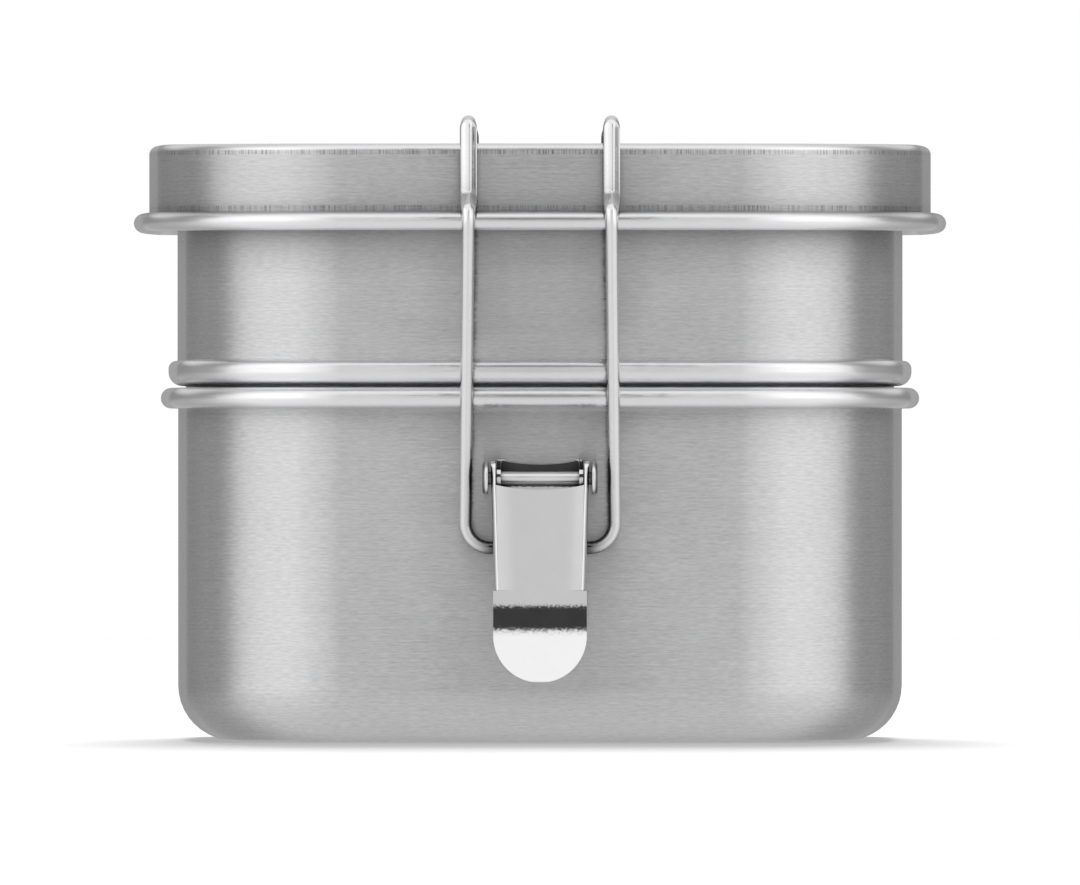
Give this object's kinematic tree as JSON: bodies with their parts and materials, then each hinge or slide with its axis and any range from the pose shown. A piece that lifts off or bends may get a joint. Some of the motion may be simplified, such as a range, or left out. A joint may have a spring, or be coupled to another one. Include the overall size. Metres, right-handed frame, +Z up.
{
  "type": "lunch box",
  "caption": "Rectangular stainless steel lunch box: a deep base, a nesting upper tray and a rimmed lid, clamped shut by wire-bail toggle latches on the short ends.",
  "frame": {"origin": "centre of the underside, on the surface the box stands on", "axes": "+Z up, +Y along the box's length, +X across it; the front latch is at -Y"},
  "size_m": [0.1266, 0.1784, 0.0966],
  "materials": {
    "shell_steel": "fine horizontal brushing",
    "lid_steel": "fine brushing",
    "latch_steel": "bright polished sheet",
    "wire_steel": "bright polished wire"
  },
  "bodies": {
    "base": {"base_container": "shell_steel", "front_latch_bracket": "latch_steel", "front_latch_pin": "latch_steel", "front_pin_cap": "latch_steel", "rear_latch_bracket": "latch_steel", "rear_latch_pin": "latch_steel", "rear_pin_cap": "latch_steel"},
    "tray": {"upper_tray": "shell_steel"},
    "lid": {"lid": "lid_steel"},
    "front_lever": {"front_latch_lever": "latch_steel"},
    "front_bail": {"front_bail_wire": "wire_steel"},
    "rear_lever": {"rear_latch_lever": "latch_steel"},
    "rear_bail": {"rear_bail_wire": "wire_steel"}
  },
  "joints": [
    {"name": "lid_lift", "type": "slide", "parent": "base", "child": "lid", "axis": [0, 0, 1], "range_m": [0, 0.024]},
    {"name": "tray_lift", "type": "slide", "parent": "base", "child": "tray", "axis": [0, 0, 1], "range_m": [0, 0.008]},
    {"name": "front_lever_swing", "type": "hinge", "parent": "base", "child": "front_lever", "pos_m": [0, -0.0816, 0.0408], "axis": [-1, 0, 0], "range_deg": [0, 75]},
    {"name": "front_bail_swing", "type": "hinge", "parent": "front_lever", "child": "front_bail", "pos_m": [0, -0.0804, 0.0301], "axis": [1, 0, 0], "range_deg": [0, 190]},
    {"name": "rear_lever_swing", "type": "hinge", "parent": "base", "child": "rear_lever", "pos_m": [0, 0.0816, 0.0408], "axis": [1, 0, 0], "range_deg": [0, 75]},
    {"name": "rear_bail_swing", "type": "hinge", "parent": "rear_lever", "child": "rear_bail", "pos_m": [0, 0.0804, 0.0301], "axis": [-1, 0, 0], "range_deg": [0, 190]}
  ],
  "couplings": [
    {"joint": "tray_lift", "follows": "lid_lift", "ratio": 0.33333},
    {"joint": "front_lever_swing", "follows": "lid_lift", "rad_per_m": 54.541},
    {"joint": "front_bail_swing", "follows": "lid_lift", "rad_per_m": 138.17},
    {"joint": "rear_lever_swing", "follows": "lid_lift", "rad_per_m": 54.541},
    {"joint": "rear_bail_swing", "follows": "lid_lift", "rad_per_m": 138.17}
  ]
}
